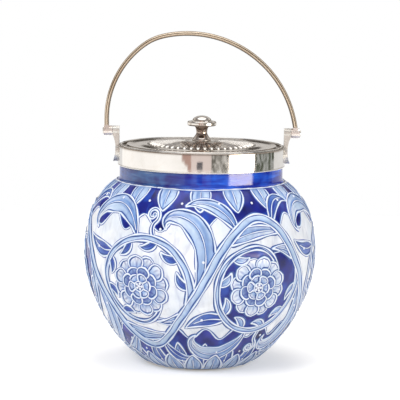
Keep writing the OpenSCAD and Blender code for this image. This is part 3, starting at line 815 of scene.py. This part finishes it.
def pick(layer, soups):
    """Which of three soups, for leaves, stems and rosettes, a layer goes into"""
    leaves, stems, rosettes = soups
    if layer >= OUTER:
        return rosettes
    return stems if layer in (FIELD, BRANCH, STEM) else leaves


def make_design():
    """The ground and what is painted on it, three times round, and the raised slip over it"""
    ground, painted, slips = Soup(), [Soup() for _ in range(3)], [Soup() for _ in range(3)]
    turns = [START + k * TAU / 3 for k in range(3)]
    shapes, dots = one_repeat()
    for turn in turns:
        edges = make_ground(ground, turn)
        seams, outlines = make_curl_ground(ground, turn)
        for layer, part in shapes:
            x, v = part["grid"][..., 0], part["grid"][..., 1]
            paint(pick(layer, painted), x, v, PROUD[layer], turn, part["tone"])
    lines = [(layer, line, size) for layer, part in shapes for line, size in part["lines"]]
    lines += [(FIELD, edge, FIELD_LINE) for edge in edges]
    lines += [(ROW_BACK, seam, FIELD_LINE) for seam in seams]
    covers = [(layer, part["edge"]) for layer, part in shapes]
    # what lies inside a curl covers the fields' edges only
    covers += [(FIELD + 0.5, outline) for outline in outlines]
    lines = uncovered(lines, covers)
    for v in (FIELD_LOW, FIELD_HIGH):
        lines.append((FIELD, np.stack([np.linspace(0, REPEAT, 240), np.full(240, v)], -1), FIELD_LINE))
    for turn in turns:
        for layer, line, size in lines:
            slip_line(pick(layer, slips), line, size, PROUD[layer] + 0.02, turn)
        for layer, middle in dots:
            slip_dot(pick(layer, slips), middle, PROUD[layer], turn)
    ground.build("painted_ground", [POT], "jar", "glazed_pottery")
    for soup, name in zip(painted, ("painted_leaves", "painted_stems", "painted_rosettes")):
        soup.build(name, [POT], "jar", "glazed_pottery")
    for soup, name in zip(slips, ("leaf_slip_lines", "stem_slip_lines", "rosette_slip_lines")):
        soup.build(name, [LINES], "jar", "glazed_pottery")


make_design()


# ---------------- metal mounts
def make_rings():
    """The band, a hair fuller half way up, its wires, and the rings hidden under the lid"""
    low_end, high_end = COLLAR_Z + WIRE_D * 0.9, RIM_Z - WIRE_D * 0.9
    up = np.linspace(0, 1, 15)
    front = np.stack([BAND_R + 0.13 * np.sin(math.pi * up), low_end + (high_end - low_end) * up], -1)
    back = [(BAND_IN_R, high_end - 2), (BAND_IN_R, low_end)]
    band = np.concatenate([back, front, [(BAND_IN_R, high_end)]])
    # the band is darkened a little at its foot and more under the rim wire: tarnish and painted shade beside
    # the wires
    heights = [low_end, low_end + 0.5, high_end - 0.9, high_end - 0.3]
    brown_and_shade = np.interp(band[:, 1], heights, [0.25, 0, 0, 0.55])
    lathe("collar_band_plate", band, SILVER, "jar", "plated_collar", ["collar_band"], RING_ROUND,
          tint=tarnished_and_shaded(brown_and_shade))
    half = WIRE_D / 2
    # each wire is darkened over its lower half, the rim wire strongly and the foot wire faintly: tarnish and
    # painted shade
    wires = [("collar_rim_wire", RIM_Z - half, 0.9), ("collar_foot_wire", COLLAR_Z + half, 0.1)]
    for name, z, stain_and_shade in wires:
        wire = circle(BAND_IN_R + half, z, half, 16)
        brown_and_shade = stain_and_shade * np.clip(1.3 - 1.2 * (wire[:, 1] - z) / half, 0, 1)
        lathe(name + "_plate", wire, SILVER, "jar", "plated_collar", [name], RING_ROUND, tint=tarnished_and_shaded(brown_and_shade))
    lathe("lid_seat_plate", rect(BAND_IN_R - SEAT_W, BAND_IN_R, SEAT_LOW_Z, SEAT_Z), SILVER, "jar",
          "plated_collar", ["lid_seat_ring"])
    lathe("lid_bezel_plate", rect(BEZEL_R - BEZEL_T, BEZEL_R, BEZEL_LOW_Z, BEZEL_TOP_Z), SILVER, "lid",
          "plated_lid", ["lid_bezel"])


make_rings()
# radii between which the flutes rise, and the shares of a flute's width that its lobe and rib take
FLUTE_FROM, FLUTE_TO = FLUTE_IN_R - 0.4, FLUTE_R + 0.5
LOBE, RIB = 0.70, 0.17


def lid_heights(r):
    """The heights of the lid's flat, cone and dished margin, run into each other"""
    dish = np.interp(r, [FLUTE_R, 42, MARGIN_R, 50],
                     [FLUTE_END_Z - 0.15, MARGIN_Z + 0.05, MARGIN_Z, MARGIN_Z + 0.62])
    cone = np.interp(r, [LID_FLAT_R, FLUTE_IN_R, 21, FLUTE_R],
                     [LID_FLAT_Z, LID_FLAT_Z - 0.4, LID_FLAT_Z - 0.5, FLUTE_END_Z])
    z = np.pad(np.where(r < FLUTE_R, cone, dish), 3, mode="reflect", reflect_type="odd")
    return np.convolve(z, np.ones(7) / 7, "valid")


def flutes(r, across):
    """Lobes with a thin rib between, round at both ends: crowns, relief, and which rows have them"""
    nose = np.maximum(np.clip((12.4 - r) / 1.8, 0, 1), np.clip((r - 32.6) / 3.7, 0, 1))[:, None]
    lobe = np.sqrt(np.clip(1 - (across / LOBE) ** 2 - nose ** 2, 0, 1))
    rib = 0.42 * np.sqrt(np.clip(1 - ((1 - across) / RIB) ** 2 - nose ** 2, 0, 1))
    crown = np.maximum(lobe, rib)
    depth = np.interp(r, [FLUTE_FROM, 13, 33, 36.3, 37], [0.0, 0.45, 1.3, 1.3, 0.0])[:, None]
    beyond = np.interp(r, [9.8, FLUTE_FROM, FLUTE_TO, 38], [0, -0.18, -0.2, 0])[:, None]
    fluted = ((r > FLUTE_FROM) & (r < FLUTE_TO))[:, None]
    return crown, np.where(fluted, depth * (crown - 0.40), beyond), fluted


def make_lid():
    """The lid: a flat, a ring of flutes, a dished margin, a step, a level edge and its wire"""
    r = np.concatenate([np.linspace(STUD_R + 0.1, 10.4, 9), np.linspace(FLUTE_FROM, 12.6, 8),
                        np.linspace(13, 31.5, 22), np.linspace(31.8, 37.8, 31),
                        np.linspace(38.2, STEP_R - STEP_W, 28)])
    z = lid_heights(r)
    half_way = np.array([-1, -0.94, -0.88, -0.83, -0.76, -0.70, -0.66, -0.57, -0.42, -0.22])
    one = np.concatenate([half_way, [0], -half_way[:0:-1]])
    angle = ((np.arange(FLUTES)[:, None] * 2 + 1 + one) / (2 * FLUTES) * TAU).ravel()
    crown, relief, fluted = flutes(r, np.abs(np.tile(one, FLUTES))[None, :])
    top = np.stack([r[:, None] * np.cos(angle), r[:, None] * np.sin(angle), z[:, None] + relief], -1)
    # painted shade and tarnish darken the gaps between the flutes, and the flutes' outer noses are painted
    # lighter than the plate, a painted highlight
    gap_shade_and_tarnish = np.where(fluted, np.clip(1 - crown * 2.2, 0, 1), 0)
    wear_and_highlight = np.interp(r, [31.5, 33.5, FLUTE_TO, 38], [1.0, 1.14, 1.14, 1.0])[:, None, None]
    soup = Soup()
    soup.grid(top, blend(wear_and_highlight * (1, 1, 1), (0.06, 0.045, 0.03), gap_shade_and_tarnish * 0.95), round_cols=True)
    half = LID_WIRE_D / 2
    edge_r = LID_R - half
    step = [(STEP_R - STEP_W, z[-1]), (STEP_R - STEP_W * 0.8, z[-1] - 0.03), (STEP_R, LID_EDGE_Z + 0.1),
            (STEP_R + 0.2, LID_EDGE_Z), (edge_r, LID_EDGE_Z)]
    # the step and the flat outside it are dark all round: painted shade between the dished margin and the rim
    # wire
    soup.grid(turned(step, FLUTES * 6), (0.30, 0.25, 0.20), round_cols=True)
    under = [(edge_r, LID_EDGE_Z), (STEP_R, LID_EDGE_Z), (STEP_R - STEP_W, z[-1]), (MARGIN_R, MARGIN_Z),
             (FLUTE_R, FLUTE_END_Z - 0.5), (FLUTE_IN_R, LID_FLAT_Z - 0.7), (LID_FLAT_R, LID_FLAT_Z),
             (STUD_R + 0.1, LID_FLAT_Z)]
    under = [under[0]] + [(a, b - LID_T) for a, b in under] + [under[-1]]
    soup.grid(turned(under, FLUTES * 6), (0.75, 0.72, 0.66), round_cols=True)
    soup.build("lid_fluted", [LID_SILVER], "lid", "plated_lid", ["lid_shell"], 60)
    lathe("lid_rim_plate", circle(edge_r, LID_EDGE_Z + half - 0.1, half, 20), SILVER, "lid",
          "plated_lid", ["lid_rim_wire"], RING_ROUND)


make_lid()


def make_finial():
    """The turned finial: a flared base, and a stem with a button and a dome, with tarnish and painted shade
    below the button
    """
    shade_and_tarnish = (0.42, 0.34, 0.30)
    waist = (WAIST_R, WAIST_H)
    flare = cubic((BASE_R - 0.4, 1.1), (WAIST_R + 1.7, 2.2), (WAIST_R + 0.3, WAIST_H * 0.72), waist, 24)
    foot = softened([(STUD_R, 0.02), (BASE_R, 0.02), (BASE_R, 0.8), tuple(flare[0])], 0.3)
    base = np.concatenate([foot, flare[1:], [(STUD_R, WAIST_H)]])
    # bands of tarnish and painted shade down the base, darkest at the waist
    shade = np.interp(base[:, 1], [0.8, 1.1, 1.6, 3.0, WAIST_H], [0.2, 0.8, 0.35, 0.7, 1.0])
    lathe("finial_base_plate", base + (0, LID_FLAT_Z), KNOB_SILVER, "lid", "plated_finial", ["finial_base"],
          FINIAL_ROUND, tint=tarnished_and_shaded(shade, shade_and_tarnish))
    stem = cubic(waist, (WAIST_R, WAIST_H + 2.6), (WAIST_R + 0.4, BUTTON_H - 1),
                 (WAIST_R + 1.5, BUTTON_H - 0.3), 24)
    dome_h = BUTTON_H + EDGE_H
    t = np.linspace(0, math.pi / 2, 9)
    lower = np.stack([BUTTON_R - EDGE_ROUND * (1 - np.sin(t)), BUTTON_H + EDGE_ROUND * (1 - np.cos(t))], -1)
    upper = np.stack([BUTTON_R - EDGE_ROUND * (1 - np.cos(t)), dome_h - EDGE_ROUND * (1 - np.sin(t))], -1)
    t = np.linspace(0, math.pi / 2, 26)
    dome = np.stack([DOME_R * np.cos(t), dome_h + DOME_H * np.sin(t)], -1)
    knob = np.concatenate([[(STUD_R, WAIST_H)], stem, [(BUTTON_R - 3, BUTTON_H - 0.05)], lower, upper,
                           [(DOME_R + 1.2, dome_h - 0.02), (DOME_R + 0.4, dome_h - 0.2)], dome])
    # tarnish and painted shade on the stem and under the button, none above it
    shade = np.interp(knob[:, 1], [WAIST_H, BUTTON_H - 1, BUTTON_H + 0.2, BUTTON_H + 0.8], [0.8, 1, 0.9, 0])
    lathe("finial_knob_plate", knob + (0, LID_FLAT_Z), KNOB_SILVER, "lid", "plated_finial", ["finial_knob"],
          FINIAL_ROUND, closed=False, tint=tarnished_and_shaded(shade, shade_and_tarnish))


make_finial()


def bow_path():
    """Points along the middle of the strap, in x and z, and the directions outwards"""
    # the solid's three arcs, right to left: radii, centres, and the angles at which they meet
    long_r, bend_r, side_r = 73.24, 25.6, 61.716
    foot_at, bend_at, side_at, end_at = 8.95, 106.0, 124.39, 184.27
    long_c, side_c = np.array((-9.6, 148.61)), np.array((-2.334, 164.6))
    bend_c = long_c + (long_r - bend_r) * ray(math.radians(bend_at))
    arcs = [(long_c, long_r, np.linspace(foot_at, bend_at, 110)),
            (bend_c, bend_r, np.linspace(bend_at, side_at, 12)[1:]),
            (side_c, side_r, np.linspace(side_at, end_at, 70)[1:])]
    points = [c + r * ray(a) for c, r, angles in arcs for a in np.radians(angles)]
    centre = evenly(np.array(points), count=220)
    # the bends run into each other, as in a strap bent by hand
    ease = np.hanning(2 * EASED + 1)
    ends = np.pad(centre, ((EASED, EASED), (0, 0)), mode="reflect", reflect_type="odd")
    centre = np.stack([np.convolve(ends[:, k], ease / ease.sum(), "valid") for k in (0, 1)], -1)
    return centre, -beside(centre)


def bow_section():
    """The strap's section, a flat and five reeds: outwards, across, and how deep in a groove"""
    crown = []
    for i, (t0, t1) in enumerate(zip(REED_ENDS, REED_ENDS[1:])):
        for part in np.linspace(0.0, 1.0, 9)[:-1]:
            angle = math.pi * (t0 + (t1 - t0) * part)
            groove = 0 if i == 0 and part < 0.5 else 0.36 * abs(2 * part - 1) ** 3
            x = -BOW_T / 2 + BOW_EDGE + (BOW_T - BOW_EDGE - groove) * math.sin(angle)
            y = -(BOW_W / 2 - groove * 0.5) * math.cos(angle)
            crown.append((x, y, groove if y < BOW_W / 2 - 0.05 else 0))
    flat = softened([(-BOW_T / 2 + BOW_EDGE, BOW_W / 2), (-BOW_T / 2, BOW_W / 2), (-BOW_T / 2, -BOW_W / 2),
                     (-BOW_T / 2 + BOW_EDGE, -BOW_W / 2)], 0.3, 3)
    edge = np.linspace(-BOW_T / 2 + 0.35, -BOW_T / 2 + BOW_EDGE, 5)[:-1]
    section = [(x, BOW_W / 2, 0.0) for x in edge[::-1]] + [(x, y, 0.0) for x, y in flat[1:-1]]
    section += [(x, -BOW_W / 2, 0.0) for x in edge] + crown
    return (np.array(column) for column in zip(*section))


def make_bow():
    """The reeded strap, swept along the same arcs as its solid"""
    centre, out = bow_path()
    sx, sy, groove = bow_section()
    points = np.stack([centre[:, 0:1] + out[:, 0:1] * sx, np.broadcast_to(-sy, (len(centre), len(sy))),
                       centre[:, 1:2] + out[:, 1:2] * sx], -1)
    points[0, :, 2] = points[-1, :, 2] = BOW_FOOT_Z
    tint = blend((1, 1, 1), (0.10, 0.06, 0.03), np.clip(groove / 0.07, 0, 1) * 0.95)
    # painted shade: the flat inner side of the plate is darkened, and nearly black along that side's edges
    dark = np.interp(sx, [-BOW_T / 2 + 0.55, -BOW_T / 2 + 0.72], [0.12, 1.0])[:, None]
    dark[(sx < -BOW_T / 2 + 0.05) & (np.abs(sy) < BOW_W / 2 - 0.2)] = 0.45
    soup = Soup()
    soup.grid(points, np.broadcast_to((tint * dark)[None], points.shape), round_cols=True)
    soup.build("bow_reeded", [BOW_SILVER], "handle", "worn_plate_bow", ["bow_strap"], 55)


make_bow()

# ---------------- the frame's own nodes
EASED_EDGE = 0.22 * MM


def dress(nodes, mat, bevelled):
    """A material for nodes that stay as the frame has them, with cast edges eased"""
    for name in nodes:
        piece = frame["nodes"][name]
        piece.data.materials.clear()
        piece.data.materials.append(mat)
        if bevelled:
            bevel = piece.modifiers.new("soft edges", "BEVEL")
            bevel.width = EASED_EDGE
            bevel.segments = 2
            bevel.limit_method = "ANGLE"
            bevel.angle_limit = math.radians(40)


dress(["plaster_bed"], PLASTER, False)
dress(["finial_stud", "finial_washer", "finial_nut"], BRASS, False)
dress(["left_ear", "right_ear", "left_hinge_pin", "right_hinge_pin"], EAR_SILVER, True)
dress(["left_bow_eye", "right_bow_eye"], EYE_SILVER, True)

# ---------------- studio
FLOOR_R, GLOW, AMBIENT = 0.75, 0.30, 0.48


def make_floor():
    """A pale disc under the jar, lit a little by itself for the camera and in reflections"""
    mesh = bpy.data.meshes.new("floor")
    rim = turned([(FLOOR_R, 0.0)], 96)[0].tolist()
    mesh.from_pydata(rim, [], [tuple(range(len(rim)))])
    floor = bpy.data.objects.new("floor", mesh)
    scene.collection.objects.link(floor)
    look = Look("pale floor", Roughness=0.9)
    look.colour((0.87, 0.85, 0.82))
    glow = look.node("ShaderNodeEmission")
    path = look.node("ShaderNodeLightPath")
    both = look.node("ShaderNodeAddShader")
    look.join(look.skin.outputs[0], both.inputs[0])
    look.join(glow.outputs[0], both.inputs[1])
    seen = look.math("MAXIMUM", path.outputs["Is Camera Ray"], path.outputs["Is Glossy Ray"])
    look.join(look.math("MULTIPLY", seen, GLOW), glow.inputs["Strength"])
    look.join(both.outputs[0], look.out.inputs[0])
    mesh.materials.append(look.mat)


# the room that metal and glaze mirror, panel over panel: its colour, bearings in degrees
# from the near or the far side, the sines of its lowest and highest elevation, how
# softly its sides and ends fade, and for some a second colour that mottles it
SOFT, CRISP = (3.0, 0.05), (1.5, 0.02)
PAPER = (1.18, 1.15, 1.12)
ALL_ROUND = (-400, 400)
ROOM = [((0.64, 0.61, 0.58), "far", (-60, 70), (-0.02, 0.16), SOFT),
        ((0.86, 0.85, 0.84), "far", (-60, 70), (-1.1, -0.04), SOFT),
        ((0.09, 0.08, 0.07), "far", (-85, 85), (0.17, 0.29), CRISP),
        ((0.72, 0.69, 0.66), "far", (-80, 80), (0.315, 0.60), CRISP),
        ((0.52, 0.34, 0.29), "near", (-30, -13), (-1.1, 0.50), CRISP),
        (PAPER, "near", (-139, -28), (-1.1, 0.10), SOFT),
        (PAPER, "near", (-40, -24), (-1.1, -0.11), SOFT),
        (PAPER, "near", (-40, -20), (-1.1, -0.16), SOFT),
        ((0.82, 0.70, 0.66), "near", (-13, 13), (-1.1, 0.50), CRISP),
        ((0.15, 0.14, 0.15), "near", (-5, 1), (-0.165, -0.095), CRISP),
        ((0.15, 0.14, 0.12), "near", (15, 39), (-1.1, 0.55), CRISP, (0.72, 0.69, 0.65)),
        ((1.30, 1.28, 1.30), "near", (40, 76), (-0.45, 0.32), SOFT),
        ((10.8, 9.60, 8.2), "near", (41, 75), (-0.45, -0.05), SOFT),
        ((0.07, 0.08, 0.05), "near", (80, 118), (-1.1, 0.40), CRISP, (0.46, 0.47, 0.46)),
        ((0.34, 0.33, 0.34), "near", ALL_ROUND, (0.68, 1.1), SOFT),
        ((2.00, 2.00, 2.00), "near", ALL_ROUND, (0.88, 1.1), SOFT)]
DIM_ROOM = (0.30, 0.28, 0.27)


def make_world():
    """White to the camera, even light to dull surfaces, and the painted room to mirroring ones"""
    world = bpy.data.worlds.new("studio")
    scene.world = world
    world.use_nodes = True
    studio = Nodes(world.node_tree)

    def within(value, low, high, soft):
        """1 between low and high, fading to 0 over a soft edge"""
        return studio.math("MULTIPLY", studio.steps(value, high + soft, high),
                           studio.steps(value, low - soft, low))

    def mottle(scale, detail, gain, start):
        """Noise, stretched by a gain"""
        clouds = studio.node("ShaderNodeTexNoise")
        clouds.inputs["Scale"].default_value = scale
        clouds.inputs["Detail"].default_value = detail
        return studio.math("MULTIPLY_ADD", clouds.outputs[0], gain, start)

    split = studio.node("ShaderNodeSeparateXYZ")
    studio.join(studio.node("ShaderNodeTexCoord").outputs["Generated"], split.inputs[0])
    x, y, z = split.outputs
    towards = {"near": studio.math("MULTIPLY", y, -1.0), "far": y}
    bearings = {name: studio.math("MULTIPLY", studio.math("ARCTAN2", x, depth), 360 / TAU)
                for name, depth in towards.items()}
    room, spots = DIM_ROOM, mottle(15.0, 5.0, 4.6, -1.85)
    for colour, name, span, heights, (side_soft, end_soft), *other in ROOM:
        across, upright = within(bearings[name], *span, side_soft), within(z, *heights, end_soft)
        share = studio.math("MULTIPLY", across, upright)
        room = studio.mix(share, room, studio.mix(spots, colour, *other) if other else colour)
    room = studio.mix(mottle(2.4, 4.0, 0.9, -0.28), room, studio.mix(0.72, (0.0, 0.0, 0.0), room))
    rays = studio.node("ShaderNodeLightPath").outputs
    mirrored = studio.math("MAXIMUM", rays["Is Glossy Ray"], rays["Is Transmission Ray"])
    light = studio.mix(rays["Is Camera Ray"], studio.mix(mirrored, (AMBIENT,) * 3, room), (1.0, 1.0, 1.0))
    shine = studio.node("ShaderNodeBackground")
    studio.join(light, shine.inputs["Color"])
    studio.join(shine.outputs[0], studio.node("ShaderNodeOutputWorld").inputs[0])


def lamp(name, place, power):
    """A round lamp aimed at the jar, which nothing mirrors"""
    data = bpy.data.lights.new(name, "AREA")
    data.shape = "DISK"
    data.size = 0.9
    data.energy = power
    made = bpy.data.objects.new(name, data)
    made.location = place
    made.rotation_euler = (Vector((0, 0, 0.09)) - Vector(place)).to_track_quat("-Z", "Y").to_euler()
    made.visible_glossy = False
    scene.collection.objects.link(made)


make_floor()
make_world()
lamp("key", (-0.85, -1.0, 1.15), 16)
lamp("fill", (1.1, -0.8, 0.7), 7.5)
lamp("top", (0.05, 0.25, 1.4), 8)

# ---------------- camera
CAMERA, TARGET, ROLL = Vector((0.0, -1.2, 0.267)), Vector((-0.00044, 0.0, 0.1098)), 0.016
FRAME_PX, FOCAL_PX = 400, 1793.0
data = bpy.data.cameras.new("camera")
data.sensor_width = 36.0
data.lens = FOCAL_PX / FRAME_PX * data.sensor_width
camera = bpy.data.objects.new("camera", data)
facing = (TARGET - CAMERA).to_track_quat("-Z", "Y").to_matrix() @ Matrix.Rotation(ROLL, 3, "Z")
camera.matrix_world = Matrix.Translation(CAMERA) @ facing.to_4x4()
scene.collection.objects.link(camera)
scene.camera = camera

scene.view_settings.view_transform = "Standard"
